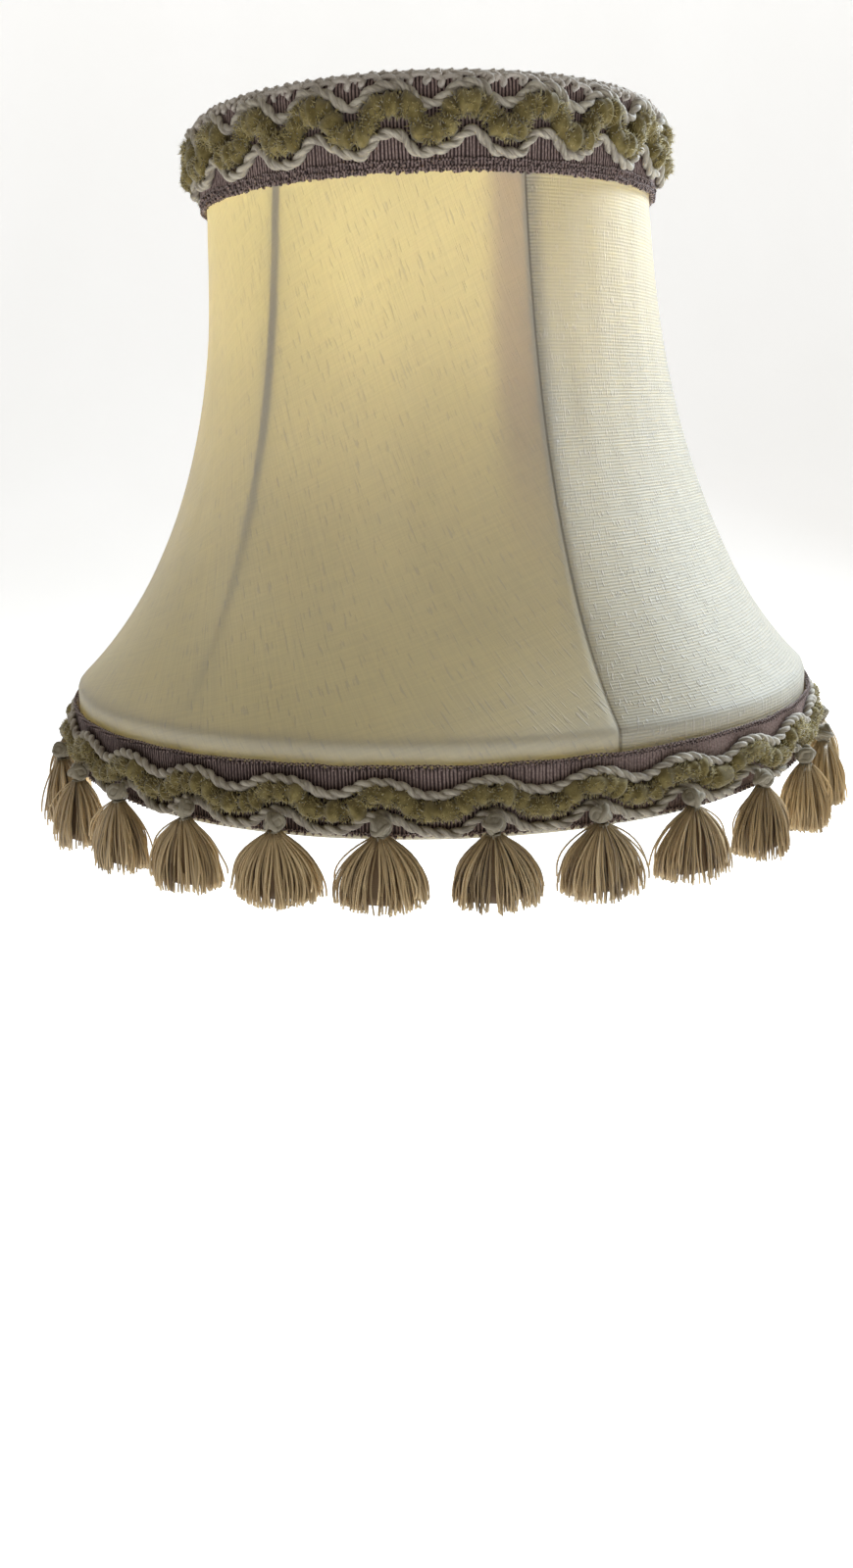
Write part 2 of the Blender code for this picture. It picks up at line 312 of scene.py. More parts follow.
def add_piece(mesh, material, body, slot, *nodes):
    """Puts a mesh into the scene as a piece that rides on a body and stands for CAD nodes."""
    piece = into_scene(mesh)
    mesh.materials.append(material)
    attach(piece, body)
    if nodes:
        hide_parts(*nodes)
    return piece


def around(radius, angle, height):
    """Points at radii, angles and heights about the axis."""
    radius, angle, height = np.broadcast_arrays(radius, angle, height)
    return np.stack([radius * np.cos(angle), radius * np.sin(angle), height], -1)


def outwards(angle):
    """Level directions away from the axis at the given angles."""
    return around(1.0, angle, 0.0)


def wander(angle, seed, size, slowest=2, fastest=17):
    """A smooth, closed, irregular line: waves of whole numbers round the turn, each with its own
    height and start, drawn from a seed."""
    draw = np.random.default_rng(seed)
    counts = np.arange(slowest, fastest)
    heights = draw.normal(0, 1, len(counts)) / np.sqrt(len(counts))
    starts = draw.uniform(0, TURN, len(counts))
    return size * (heights * np.sin(np.multiply.outer(angle, counts) + starts)).sum(-1)


# Lines of the frame


def ring_middle(node):
    """Radius and height of the middle of a ring node's wire or cord, which is as thick as the
    node is high."""
    low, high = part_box(node)
    return np.array([high.x - (high.z - low.z) / 2, (low.z + high.z) / 2])


def bell_line(shares):
    """The ribs' middle line, as (radius, height): the radius grows from the waist by a straight
    share plus a power of the way down, and the height falls evenly."""
    sizes = bpy.context.scene.shade_sizes
    top = ring_middle("top_ring")
    corner = ring_middle("shoulder_ring")[0] - RIB_INSET
    waist = top[0] - WAIST_INSET
    swell = sizes.bell_lean * shares + (1 - sizes.bell_lean) * shares ** sizes.bell_power
    return np.stack([waist + (corner - waist) * swell, top[1] - WAIST_DROP - BELL_HEIGHT * shares], 1)


def moved_out(line, distance):
    """A line that runs down, moved away from the axis by a distance, square to its run."""
    run = unit(np.gradient(line, axis=0))
    return line + distance * np.stack([-run[:, 1], run[:, 0]], 1)


def arc(centre, radius, first, last, count):
    """Points round a centre from one angle to another, 0 being outwards and 90 up."""
    angle = np.radians(np.linspace(first, last, count))
    return centre + radius * np.stack([np.cos(angle), np.sin(angle)], 1)


def evenly(line, spacing):
    """A line with points at an even spacing along it, and the length at each."""
    hop = np.linalg.norm(np.diff(line, axis=0), axis=1)
    length = np.concatenate([[0], np.cumsum(hop)])
    at = np.linspace(0, length[-1], int(length[-1] / spacing) + 1)
    return np.stack([np.interp(at, length, line[:, i]) for i in (0, 1)], 1), at


def cloth_line(standoff):
    """Outline of cloth at a standoff from the wires: over the top ring, down the ribs, clear of
    them along a parabola that lands on the shoulder ring, down the collar and under the bottom
    ring."""
    reach = RING_WIRE + GAP + standoff
    over = arc(ring_middle("top_ring"), reach, 110, 0, 9)
    bell = moved_out(bell_line(np.linspace(0, ON_RIBS, 50)), RIB_WIRE + GAP + standoff)
    shoulder = arc(ring_middle("shoulder_ring"), reach, math.degrees(LANDING), 0, 9)
    leaving = unit(bell[-1] - bell[-2])
    landing = np.array([math.sin(LANDING), -math.cos(LANDING)])
    meeting = np.linalg.solve(np.stack([leaving, landing], 1), shoulder[0] - bell[-1])
    corner = bell[-1] + meeting[0] * leaving
    share = np.linspace(0, 1, 24)[1:-1, None]
    eased = (1 - share) ** 2 * bell[-1] + 2 * share * (1 - share) * corner
    bell = np.concatenate([bell, eased + share ** 2 * shoulder[0]])
    hem = arc(ring_middle("bottom_ring"), reach, 0, -100, 9)
    return over, bell, shoulder, hem


def drawn_in(angle, height):
    """How far taut cloth draws in between ribs, as a share of its radius: the gap between the
    circle and the straight line from rib to rib, eased over each wire, none at the waist, where
    the braid is sewn through the cloth, and none at the shoulder."""
    gap = TURN / RIBS
    easing = 0.012
    from_rib = gap / 2 - np.abs(np.mod(angle, gap) - gap / 2)
    from_rib = np.sqrt(from_rib ** 2 + easing ** 2) - easing
    chord = 1 - math.cos(gap / 2) / np.cos(gap / 2 - from_rib)
    waist = ring_middle("top_ring")[1] - WAIST_DROP
    foot = ring_middle("shoulder_ring")[1]
    share = np.clip((waist - height) / (waist - foot), 0, 1)
    return chord * np.sin(math.pi * share) ** 1.3


def collar_face(height):
    """Radius of the outer face of the braid at a height, on the straight run below each ring."""
    over, bell, shoulder, hem = cloth_line(SILK + GAP + BRAID)
    upper, lower = (over[-1], bell[0]) if height > bell[0][1] else (shoulder[-1], hem[0])
    return float(np.interp(height, [lower[1], upper[1]], [lower[0], upper[0]]))


# Materials


# How the two halves of the silk differ. The plain one is cut on the bias. The ribbed one is closer
# woven, with thick crossways threads that stand proud, and lets less light through.
# Along each rib a shadow is painted into the glow, as wide as the rib core and edge give and as deep
# as the last rib value.
PLAIN_SILK = SimpleNamespace(
    ribbed=False, bias=-23.0, slub=6 * MM, slub_from=0.69, slub_to=0.78, long_slub=0.3,
    dark=0.975, light=1.015, pale_fleck=0.2, rib_core=0.9 * MM, rib_edge=2.6 * MM, painted_rib_shadow=0.8,
    clear=1.0, relief=0.20 * MM,
)
RIBBED_SILK = SimpleNamespace(
    ribbed=True, bias=3.0, slub=3 * MM, slub_from=0.64, slub_to=0.76, long_slub=0.2,
    dark=0.95, light=1.03, pale_fleck=0.6, rib_core=2.6 * MM, rib_edge=8.0 * MM, painted_rib_shadow=0.6,
    clear=0.62, relief=0.45 * MM,
)
# Shares of the silk and of the lining that pass light on, where the rest throws it back.
SILK_PASSES = 0.30
LINING_PASSES = 0.42
# The scale at which a wave texture repeats once a metre.
WAVE = TURN / 20
SMOOTH = {"interpolation_type": "SMOOTHSTEP"}


def add_node(tree, kind, inputs=(), output=0, **settings):
    """Adds a node with its settings and gives one of its outputs. The inputs are in order or by
    socket, and each is an output to link in, a value, or a colour of three parts."""
    made = tree.nodes.new("ShaderNode" + kind)
    for name, value in settings.items():
        setattr(made, name, value)
    for place, value in inputs.items() if isinstance(inputs, dict) else enumerate(inputs):
        socket = made.inputs[place]
        if isinstance(value, bpy.types.NodeSocket):
            tree.links.new(value, socket)
        else:
            socket.default_value = (*value, 1) if socket.type == "RGBA" else value
    return made.outputs[output] if made.outputs else None


def new_material(name):
    """An empty material, and the function that adds a node to it."""
    material = bpy.data.materials.new(name)
    material.use_nodes = True
    material.node_tree.nodes.clear()
    return material, partial(add_node, material.node_tree)


def streaks(node, source, width, length, degrees=0.0, detail=2.0, start=0.0):
    """Noise drawn out into streaks of a width and length in metres, turned by an angle."""
    place = node(
        "Mapping", (source, (start, start, 0), (0, 0, math.radians(degrees)), (width, length, 1)),
        vector_type="TEXTURE",
    )
    return node(
        "TexNoise", {"Vector": place, "Scale": 1.0, "Detail": detail}, noise_dimensions="2D"
    )


def patches(node, size, detail):
    """Noise in patches of a size in metres, fixed to the object."""
    place = node("TexCoord", output="Object")
    return node("TexNoise", {"Vector": place, "Scale": 1 / size, "Detail": detail})


def laid_over(node, ground, *layers):
    """Colours laid over a ground in turn, each with its kind of mix and its share."""
    for kind, share, colour in layers:
        ground = node("Mix", {0: share, 6: ground, 7: colour}, 2, data_type="RGBA", blend_type=kind)
    return ground


def silk_dupion(name, half):
    """Slubbed silk dupion, hand-woven: fine uneven threads, thick slubs that lie proud, a soft
    sheen, and a warm glow where light comes through. Gives cream cloth with grain and flecks, and
    paints into the glow the shadow of the rib behind it and of the seam's turnings, fading downwards."""
    colours = bpy.context.scene.shade_colours
    material, node = new_material(name)
    place = node("TexCoord", output="UV")
    across = node("SeparateXYZ", (place,), "X")
    along = node("SeparateXYZ", (place,), "Y")
    # Threads are drawn twice as thick as real ones, so that they show.
    warp = streaks(node, place, 0.55 * MM, 30 * MM, half.bias)
    weft = streaks(node, place, 0.60 * MM, 22 * MM, half.bias + 90, start=0.3)
    slub = streaks(node, place, 0.7 * MM, half.slub, half.bias, 0.5, 0.9)
    slub = node("MapRange", (slub, half.slub_from, half.slub_to), **SMOOTH)
    long_slub = streaks(node, place, 0.5 * MM, 26 * MM, half.bias, 1.0, 1.7)
    long_slub = node("MapRange", (long_slub, 0.62, 0.74, 0.0, half.long_slub), **SMOOTH)
    fleck = node("Math", (slub, long_slub), operation="MAXIMUM")
    cloud = streaks(node, place, 45 * MM, 60 * MM, half.bias, 1.0, 2.2)
    cloud = node("MapRange", (cloud, 0.3, 0.7, 0.96, 1.03), **SMOOTH)
    grain = node("Mix", {0: 0.5, 2: warp, 3: weft})
    if half.ribbed:
        ribs = node("TexWave", {
            "Vector": place, "Scale": WAVE / (0.95 * MM), "Distortion": 0.6, "Detail": 1.0,
            "Detail Scale": 0.15,
        }, "Fac", bands_direction="Y")
        grain = node("Mix", {0: 0.5, 2: grain, 3: ribs})
    face_shade, glow_shade = (
        node("Math", (cloud, node("MapRange", (grain, 0.3, 0.7, low, high), **SMOOTH)),
             operation="MULTIPLY")
        for low, high in ((half.dark, half.light), (0.90, 1.05))
    )
    from_edge = node("Math", (across, LAST_SEAM / 2), operation="PINGPONG")
    edge = node("MapRange", (from_edge, 0.2 * MM, 0.6 * MM, 0.55, 0.0), **SMOOTH)
    face = laid_over(
        node, colours.silk, ("MULTIPLY", 1.0, face_shade),
        ("MIX", node("Math", (fleck, half.pale_fleck), operation="MULTIPLY"), (0.95, 0.93, 0.87)),
        ("MIX", edge, (0.20, 0.16, 0.11)),
    )
    # Painted shadow: the glow is darkened along each rib that lies behind the cloth.
    from_rib = node("Math", (across, RIB_PITCH / 2), operation="PINGPONG")
    # Painted shadow: the glow is darkened beside the last seam, where the seam's turnings lie double
    # behind the cloth.
    from_seam = node("Math", (LAST_SEAM, across), operation="SUBTRACT")
    # Painted light falloff: the lamp sits high, so the painted shadows of the rib and the turnings
    # only show in the upper part, fading out from 75 to 150 mm down.
    painted_light_falloff = node("MapRange", (along, 75 * MM, 150 * MM, 1.0, 0.0), **SMOOTH)
    turnings, painted_rib_shadow = (
        node("Math", (painted_light_falloff, node("MapRange", (*reach, 0.0), **SMOOTH)), operation="MULTIPLY")
        for reach in ((from_seam, 9 * MM, 19 * MM, 0.9),
                      (from_rib, half.rib_core, half.rib_edge, half.painted_rib_shadow))
    )
    glow = laid_over(
        node, [half.clear * part for part in colours.silk_glow],
        ("MIX", turnings, colours.turnings),
        ("MIX", painted_rib_shadow, (0.16, 0.11, 0.05)),
        ("MULTIPLY", 1.0, glow_shade),
        ("MIX", node("Math", (fleck, 0.6), operation="MULTIPLY"), (0.30, 0.22, 0.10)),
        ("MIX", edge, (0.10, 0.07, 0.04)),
    )
    height = node("Mix", {0: 0.55, 2: grain, 3: fleck})
    raised = node("Bump", {"Height": height, "Distance": half.relief, "Strength": 0.8})
    cloth = node("BsdfPrincipled", {
        "Base Color": face, "Normal": raised, "Roughness": 0.55, "Sheen Weight": 0.25,
        "Sheen Roughness": 0.35, "Specular IOR Level": 0.35,
    })
    through = node("BsdfTranslucent", {"Color": glow, "Normal": raised})
    node("OutputMaterial", (node("MixShader", (SILK_PASSES, cloth, through)),))
    return material


def lining_satin(name):
    """Acetate lining satin: smooth, close-woven and pale, with a low gleam along the warp, and
    thin enough to let light through."""
    colours = bpy.context.scene.shade_colours
    material, node = new_material(name)
    warp = streaks(node, node("TexCoord", output="UV"), 0.4 * MM, 14 * MM)
    raised = node("Bump", {"Height": warp, "Distance": 0.06 * MM, "Strength": 0.6})
    face = laid_over(
        node, [0.92 * part for part in colours.lining],
        ("MIX", node("MapRange", (warp, 0.3, 0.7), **SMOOTH), colours.lining),
    )
    cloth = node("BsdfPrincipled", {
        "Base Color": face, "Normal": raised, "Roughness": 0.42, "Sheen Weight": 0.15,
        "Specular IOR Level": 0.4,
    })
    through = node("BsdfTranslucent", {"Color": colours.lining_glow, "Normal": raised})
    node("OutputMaterial", (node("MixShader", (LINING_PASSES, cloth, through)),))
    return material


def thread_finish(name, dark, pale, width, length, depth, roughness, sheen, rib=None):
    """Spun or wound thread: fine streaks along the fibres, paler where they stand proud, with a
    dry sheen. Gives yarn, cord and braid their fibre. rib is the spacing of the braid's ribs,
    between which it is painted darker as shade."""
    material, node = new_material(name)
    place = node("TexCoord", output="UV")
    # Fibres are drawn much coarser than real ones, so that they show.
    fibre = streaks(node, place, width, length)
    share = node("Mix", {0: 0.35, 2: fibre, 3: patches(node, 9 * MM, 3.0)})
    share = node("MapRange", (share, 0.34, 0.62), **SMOOTH)
    if rib:
        across = node("SeparateXYZ", (place,), "X")
        from_gap = node("Math", (across, 0.5 * rib), operation="PINGPONG")
        # Painted shade: the braid is darkened in the gaps between its ribs.
        painted_gap_shade = node("MapRange", (from_gap, 0.08 * rib, 0.34 * rib, -0.6, 1.0), **SMOOTH)
        share = node("Math", (share, 0.5, 0.5), operation="MULTIPLY_ADD")
        share = node("Math", (share, painted_gap_shade), operation="MULTIPLY")
    shader = node("BsdfPrincipled", {
        "Base Color": laid_over(node, dark, ("MIX", share, pale)),
        "Normal": node("Bump", {"Height": fibre, "Distance": depth, "Strength": 0.8}),
        "Roughness": roughness, "Sheen Weight": sheen, "Sheen Roughness": 0.4,
        "Specular IOR Level": 0.3,
    })
    node("OutputMaterial", (shader,))
    return material


def chenille_pile(name):
    """Cotton chenille: short upright pile of pale, dusty olive, painted darker towards its roots as
    the shade deep in the pile, with no gloss. V runs from root to tip."""
    colours = bpy.context.scene.shade_colours
    material, node = new_material(name)
    depth = node("SeparateXYZ", (node("TexCoord", output="UV"),), "Y")
    # Painted shade: the pile darkens towards its roots, deep in the pile.
    share = node("Math", (depth, 0.55), operation="MULTIPLY")
    share = node("Math", (patches(node, 2.6 * MM, 3.0), 0.6, share), operation="MULTIPLY_ADD")
    share = node("MapRange", (share, 0.25, 0.85), **SMOOTH)
    shader = node("BsdfPrincipled", {
        "Base Color": laid_over(node, colours.chenille_root_shade, ("MIX", share, colours.chenille)),
        "Roughness": 0.95, "Sheen Weight": 0.5, "Sheen Roughness": 0.5,
        "Specular IOR Level": 0.15,
    })
    node("OutputMaterial", (shader,))
    return material


def tassel_rayon(name):
    """Twisted rayon thread: beige-gold with a silky gleam, each thread its own tone, and painted
    darker and browner near the knot and deep in the skirt as shade where the threads crowd. U is
    the thread's tone with that painted shade, and V the way down."""
    colours = bpy.context.scene.shade_colours
    material, node = new_material(name)
    place = node("TexCoord", output="UV")
    down = node("SeparateXYZ", (place,), "Y")
    # Painted shade: threads darken towards the knot, where the skirt is gathered.
    down = node("MapRange", (down, 0.0, 0.5, 0.72, 1.0), **SMOOTH)
    share = node("Math", (node("SeparateXYZ", (place,), "X"), down), operation="MULTIPLY")
    # The thread's twist shows as faint bands, half a millimetre apart.
    twist = node("TexWave", {
        "Vector": node("TexCoord", output="Object"), "Scale": WAVE / (0.5 * MM),
        "Distortion": 3.0, "Detail": 1.0,
    }, "Fac", bands_direction="Z")
    shader = node("BsdfPrincipled", {
        "Base Color": laid_over(node, colours.tassel_deep_shade, ("MIX", share, colours.tassel)),
        "Normal": node("Bump", {"Height": twist, "Distance": 0.05 * MM, "Strength": 0.5}),
        "Roughness": 0.42, "Sheen Weight": 0.2, "Specular IOR Level": 0.45,
    })
    node("OutputMaterial", (shader,))
    return material


def coated_wire(name, colour, roughness):
    """Steel wire or plate with a dipped white coating: smooth, faintly orange-peeled, yellowed and
    rubbed in places, with a soft gloss."""
    material, node = new_material(name)
    aged = [part * share for part, share in zip(colour, (0.82, 0.76, 0.62))]
    age = node("MapRange", (patches(node, 14 * MM, 4.0), 0.5, 0.72), **SMOOTH)
    peel = patches(node, 0.8 * MM, 1.0)
    shader = node("BsdfPrincipled", {
        "Base Color": laid_over(node, colour, ("MIX", age, aged)), "Roughness": roughness,
        "Normal": node("Bump", {"Height": peel, "Distance": 0.05 * MM, "Strength": 0.4}),
    })
    node("OutputMaterial", (shader,))
    return material


# Pieces


def stretched_half(name, line, first_turn, seam_dip, pull, toward_axis):
    """Half of a cloth cover as a surface of angle and length: the outline is turned through half
    a circle, drawn in between ribs, dipped where it is turned in at each seam, and rippled by
    slow drag lines a tenth of a millimetre deep."""
    points, length = evenly(line, 1.5 * MM)
    angle = first_turn + np.linspace(0, math.pi, 241)
    height = points[:, 1][:, None]
    radius = points[:, 0][:, None] * (1 - pull * drawn_in(angle[None], height))
    edge = np.minimum(angle - angle[0], angle[-1] - angle)[None] * radius
    radius = radius - seam_dip * np.exp(-(edge / (0.9 * MM)) ** 2)
    drag = np.sin(9 * angle[None] + 46 * height) * np.sin(31 * angle[None] - 25 * height)
    radius = radius + 0.10 * MM * drag
    across = (angle - first_turn) * PATTERN_RADIUS
    across = np.append(across, across[-1])
    along = np.append(length, length[-1])
    grid = around(radius, angle[None], height)
    return make_grid(name, grid, across, along, flip=not toward_axis)


class SHADE_OT_cover(bpy.types.Operator):
    """Stretch the two silk halves over the frame, one of them cut on the bias"""

    bl_idname = "shade.cover"
    bl_label = "Silk Cover"

    def execute(self, context):
        line = np.concatenate(cloth_line(SILK / 2))
        pull = context.scene.shade_sizes.cloth_pull
        halves = (
            ("front_left", SEAM_TURN, PLAIN_SILK),
            ("back_right", SEAM_TURN + math.pi, RIBBED_SILK),
        )
        for side, first_turn, half in halves:
            material = silk_dupion("silk_dupion_" + side, half)
            mesh = stretched_half("silk_" + side, line, first_turn, 0.45 * MM, pull, False)
            piece = add_piece(mesh, material, "shade", "silk_cover", "cover_" + side)
        return {"FINISHED"}


class SHADE_OT_lining(bpy.types.Operator):
    """Hang the two halves of the lining inside the ribs"""

    bl_idname = "shade.lining"
    bl_label = "Lining"

    def execute(self, context):
        inset = -(RIB_WIRE + GAP + LINING / 2)
        top = ring_middle("top_ring")
        foot = ring_middle("bottom_ring")
        ribs = bell_line(np.linspace(0, 1, 60))
        bell = moved_out(ribs, inset)
        start = np.array([top[0] - RIB_INSET + inset, top[1] - 3 * RING_WIRE])
        end = np.array([foot[0] - RIB_INSET + inset, foot[1] + 1 * MM])
        turned = arc(end + (2.6 * MM, 0), 2.6 * MM, 180, 300, 9)
        line = np.concatenate([[start], bell, turned])
        material = lining_satin("lining_satin")
        pull = context.scene.shade_sizes.cloth_pull + 0.04
        for side, first_turn in (("front_left", SEAM_TURN), ("back_right", SEAM_TURN + math.pi)):
            mesh = stretched_half("lining_satin_" + side, line, first_turn, -0.3 * MM, pull, True)
            piece = add_piece(mesh, material, "shade", "lining_cloth", "lining_" + side)
        return {"FINISHED"}


def ribbed_band(name, outer, seed):
    """A band of ribbed braid as a closed surface of angle and outline: the outer face swells and
    sinks once a rib, each rib leaning and reaching past the edge by its own amount, and the inner
    face lies a braid's thickness behind it."""
    sizes = bpy.context.scene.shade_sizes
    outer, length = evenly(outer, 1.4 * MM)
    inner = moved_out(outer, -0.85 * BRAID)[::-1][[0, len(outer) // 2, -1]]
    line = np.concatenate([outer, inner])
    girth = TURN * outer[:, 0].mean()
    ribs = round(girth / sizes.braid_rib)
    angle = turns(4 * ribs)
    draw = np.random.default_rng(seed)
    rise = np.repeat(draw.uniform(0.7, 1.0, ribs), 4)
    reach = np.repeat(draw.normal(0, 0.22 * MM, ribs), 4)
    lean = np.repeat(draw.uniform(0, TURN, ribs), 4)
    swell = np.tile([0.0, 0.8, 1.0, 0.8], ribs) * rise
    face = np.concatenate([np.ones(len(outer)), np.zeros(3)])[:, None]
    share = np.concatenate([np.linspace(-1, 1, len(outer)), [1, 0, -1]])[:, None]
    knots = 0.10 * MM * np.sin(TURN * np.arange(len(line))[:, None] / 2 + lean)
    radius = line[:, :1] + face * (0.62 * MM * (swell - 1) + knots)
    height = line[:, 1:] - share ** 5 * reach
    turn = angle + 0.12 * sizes.braid_rib / line[:, :1] * np.sin(2.2 * share + lean)
    along = np.concatenate([length, length[-1] + BRAID * np.arange(1, 5)])
    across = np.linspace(0, girth, len(angle) + 1)
    return make_grid(
        name, around(radius, turn, height), across, along,
        closed_rows=True, closed_columns=True, flip=True,
    )


def looped_yarn(radius, height, yarn, pitch, reach, tilt, seed):
    """A row of small loops worked in one yarn: it runs round at a radius and height, swings
    forwards and back more than it travels, and up and down by its reach, so that it crosses
    itself once a loop. tilt leans the row away from upright, in degrees."""
    count = round(TURN * radius / pitch)
    turn = turns(14 * count)
    phase = count * turn
    swing = 0.34 * pitch * np.sin(phase) + wander(turn, seed, 0.12 * pitch, 5, 60)
    lift = reach * (np.cos(phase) + wander(turn, seed + 1, 0.35, 5, 60))
    out = 0.5 * yarn * np.sin(phase / 2) ** 2 * np.sign(np.sin(phase))
    lean = math.radians(tilt)
    path = around(
        radius + out * math.cos(lean) - lift * math.sin(lean),
        turn + swing / radius,
        height + lift * math.cos(lean) + out * math.sin(lean),
    )
    return tube_parts(path[None], yarn / 2, 5, outwards(turn)[None], closed=True)


class SHADE_OT_braid(bpy.types.Operator):
    """Sew the ribbed braid round the top ring and the collar, with its looped edges"""

    bl_idname = "shade.braid"
    bl_label = "Braid"

    def execute(self, context):
        sizes = context.scene.shade_sizes
        colours = context.scene.shade_colours
        braid = thread_finish(
            "mauve_rayon_braid", colours.braid_gap_shade, colours.braid,
            0.5 * MM, 0.7 * MM, 0.12 * MM, 0.7, 0.3, sizes.braid_rib,
        )
        picot = thread_finish(
            "pale_cotton_loops", [0.6 * c for c in colours.loops], colours.loops,
            0.8 * MM, 0.3 * MM, 0.05 * MM, 0.75, 0.3,
        )
        over, bell, shoulder, hem = cloth_line(SILK + GAP + BRAID)
        collar_top = shoulder[-1] + (hem[0] - shoulder[-1]) * 0.20
        top_line = np.concatenate([over, bell[:1]])
        bottom_line = np.stack([collar_top, hem[0]])
        for place, line, seed in (("top", top_line, 11), ("bottom", bottom_line, 12)):
            mesh = ribbed_band(place + "_ribbed_braid", line, seed)
            add_piece(mesh, braid, "shade", "ribbed_braid", place + "_braid")
        ring = ring_middle("top_ring")
        reach = RING_WIRE + GAP + SILK + GAP + BRAID
        # Each row: radius and height, then yarn, pitch, reach, tilt in degrees, and a seed.
        rows = (
            ("top_edge_loops", picot, [
                (*arc(ring, reach, 48, 48, 1)[0], 1.2 * MM, 3.1 * MM, 1.0 * MM, 48, 21),
                (*arc(ring, reach + 0.3 * MM, 22, 22, 1)[0], 1.3 * MM, 4.3 * MM, 1.2 * MM, 22, 22),
                (*arc(ring, reach, 74, 74, 1)[0], 1.3 * MM, 3.6 * MM, 1.1 * MM, 74, 28),
                (*arc(ring, reach, 98, 98, 1)[0], 0.9 * MM, 2.6 * MM, 0.8 * MM, 98, 23),
            ]),
            ("top_lower_loops", braid, [
                (collar_face(-1.2 * MM), -1.2 * MM, 0.8 * MM, 3.2 * MM, 0.6 * MM, 0, 24),
                (collar_face(-3.0 * MM), -3.0 * MM, 0.7 * MM, 2.4 * MM, 0.6 * MM, 0, 25),
            ]),
            ("bottom_edge_loops", braid, [
                (collar_top[0], collar_top[1], 0.5 * MM, 1.6 * MM, 0.6 * MM, 0, 26),
                (hem[0][0], hem[0][1] + 0.4 * MM, 0.5 * MM, 2.3 * MM, 0.6 * MM, 0, 27),
            ]),
        )
        for name, material, yarns in rows:
            parts = join_parts(*(looped_yarn(*yarn) for yarn in yarns))
            add_piece(make_mesh(name, *parts), material, "shade", "ribbed_braid")
        return {"FINISHED"}


def wave(phase, broad):
    """A wave from 1 at its crest to -1 in its trough. broad above 0 widens the crests and narrows
    the troughs, and below 0 does the opposite."""
    lifted = np.cos(phase) - 0.2 * broad * np.cos(2 * phase) + 0.2 * broad
    return lifted - 0.06 * np.cos(3 * phase) + 0.06 * np.cos(phase)


def gimp_path(node, crest, trough, waves, broad, seed, steps):
    """The middle line of a strand laid round the braid in waves, with a crest at the front. Its
    heights are above and below the strand's CAD ring, and its radius is the ring's own."""
    radius, height = ring_middle(node)
    turn = turns(steps)
    phase = waves * (turn + TURN / 4) + wander(turn, seed, 0.22, 3, 40)
    share = (wave(phase, broad) + 1) / 2
    size = 1 + wander(turn, seed + 1, 0.12, 3, 50)
    rise = (trough + (crest - trough) * share) * size
    bulge = wander(turn, seed + 2, 0.15 * MM, 5, 60)
    return around(radius + bulge, turn, height + rise), turn


class SHADE_OT_cords(bpy.types.Operator):
    """Lay the four two-ply twisted cords along the gimps"""

    bl_idname = "shade.cords"
    bl_label = "Twisted Cords"

    def execute(self, context):
        sizes = context.scene.shade_sizes
        colours = context.scene.shade_colours
        finish = thread_finish(
            "twisted_cotton_cord", colours.cord_dark, colours.cord,
            2.5 * MM, 0.18, 0.06 * MM, 0.6, 0.35,
        )
        tassels = len(frame["joints"])
        # Crest and trough in mm from the CAD ring, waves, how broad the crests are, and a seed.
        strands = (
            ("top_upper_cord", 2.4, -2.4, sizes.top_waves, 0.8, 31),
            ("top_lower_cord", 0.7, -4.4, sizes.top_waves, -0.9, 32),
            ("bottom_upper_cord", 1.2, -2.3, tassels, 0.25, 33),
            ("bottom_lower_cord", 1.9, -3.0, tassels, -0.8, 34),
        )
        for node, crest, trough, waves, broad, seed in strands:
            ring_length = TURN * ring_middle(node)[0]
            twists = round(1.06 * ring_length / sizes.cord_lay)
            path, turn = gimp_path(
                node, crest * MM, trough * MM, waves, broad, seed, 14 * twists
            )
            hop = hops(path)
            travelled = np.concatenate([[0], np.cumsum(hop)[:-1]]) / hop.sum()
            first, second = square_frame(path[None], outwards(turn)[None], True)
            plies = []
            for half_turn in (0, math.pi):
                aside = turned(TURN * twists * travelled + half_turn, first[0], second[0])
                ply = path + 0.21 * sizes.cord * aside
                plies.append(tube_parts(ply[None], 0.30 * sizes.cord, 8, aside[None], closed=True))
            mesh = make_mesh(node + "_twisted", *join_parts(*plies))
            add_piece(mesh, finish, "shade", "twisted_cord", node)
        return {"FINISHED"}


def pile(path, turn, core, over, per_metre, seed):
    """Short upright pile on a strand: spikes of three sides that start on its core at random
    places and lean a little their own way. Points, faces and pattern, V from root to tip."""
    draw = np.random.default_rng(seed)
    hop = hops(path)
    count = int(hop.sum() * per_metre)
    at = draw.choice(len(path), count, p=hop / hop.sum())
    first, second = square_frame(path[None], outwards(turn)[None], True)
    up = turned(draw.uniform(0, TURN, count), first[0][at], second[0][at])
    run = np.cross(first[0][at], second[0][at])
    root = path[at] + 0.9 * core * up + draw.uniform(-0.5, 0.5, (count, 1)) * hop[at][:, None] * run
    long = draw.uniform(0.6, 1.15, (count, 1)) * (over - 0.9 * core)
    tip = root + long * unit(up + draw.normal(0, 0.35, (count, 3)))
    side = unit(np.cross(up, run))
    corners = [root + 0.24 * MM * turned(spoke, run, side) for spoke in turns(3)]
    points = np.stack([*corners, tip], 1).reshape(-1, 3)
    sides = np.array([[0, 1, 3], [1, 2, 3], [2, 0, 3], [2, 1, 0]])
    faces = (sides[None] + 4 * np.arange(count)[:, None, None]).reshape(-1, 3)
    pattern = np.zeros((count, 4, 3, 2))
    pattern[..., 1] = np.where(sides == 3, 1.0, 0.3)
    return points, [faces], [pattern.reshape(-1, 3, 2)]


